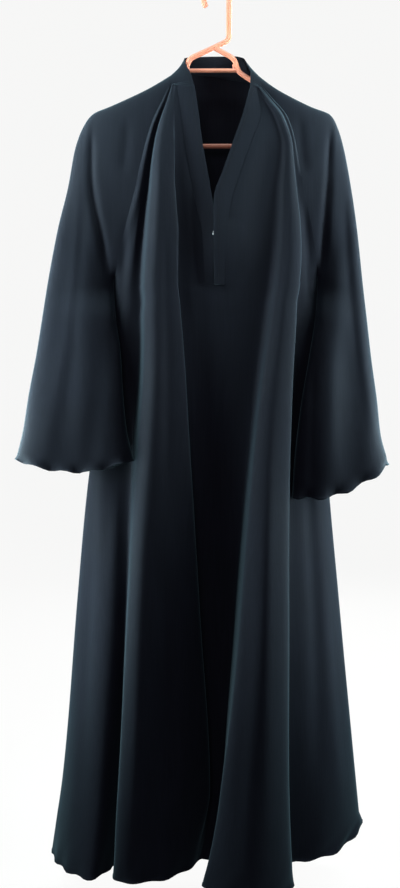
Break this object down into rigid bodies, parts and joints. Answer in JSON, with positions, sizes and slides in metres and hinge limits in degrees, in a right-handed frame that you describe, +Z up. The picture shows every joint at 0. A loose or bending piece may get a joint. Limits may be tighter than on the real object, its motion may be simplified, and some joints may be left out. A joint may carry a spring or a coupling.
{
  "type": "abaya cloak on a hanger",
  "caption": "Long dark abaya with raglan bell sleeves, a banded V neck and a flared fluted hem, hanging on a moulded plastic hanger.",
  "frame": {"origin": "the inner top of the hanger's hook, on the middle plane of its tube, where a peg or rail carries it", "axes": "+Z is up, the front of the garment faces -Y, and +X is the wearer's left side; Y = 0 is the plane of the hanger"},
  "size_m": [0.6201, 0.2204, 1.4871],
  "materials": {
    "crepe": "matt dark navy, nearly black, fine woven crepe with a faint cool sheen",
    "snap_plastic": "clear glossy plastic",
    "hanger_plastic": "salmon orange moulded plastic, satin gloss"
  },
  "bodies": {
    "root": {"front_panel": "crepe", "back_panel": "crepe", "sleeve_right": "crepe", "sleeve_left": "crepe", "neck_band": "crepe", "snap": "snap_plastic", "hanger": "hanger_plastic"}
  },
  "joints": []
}
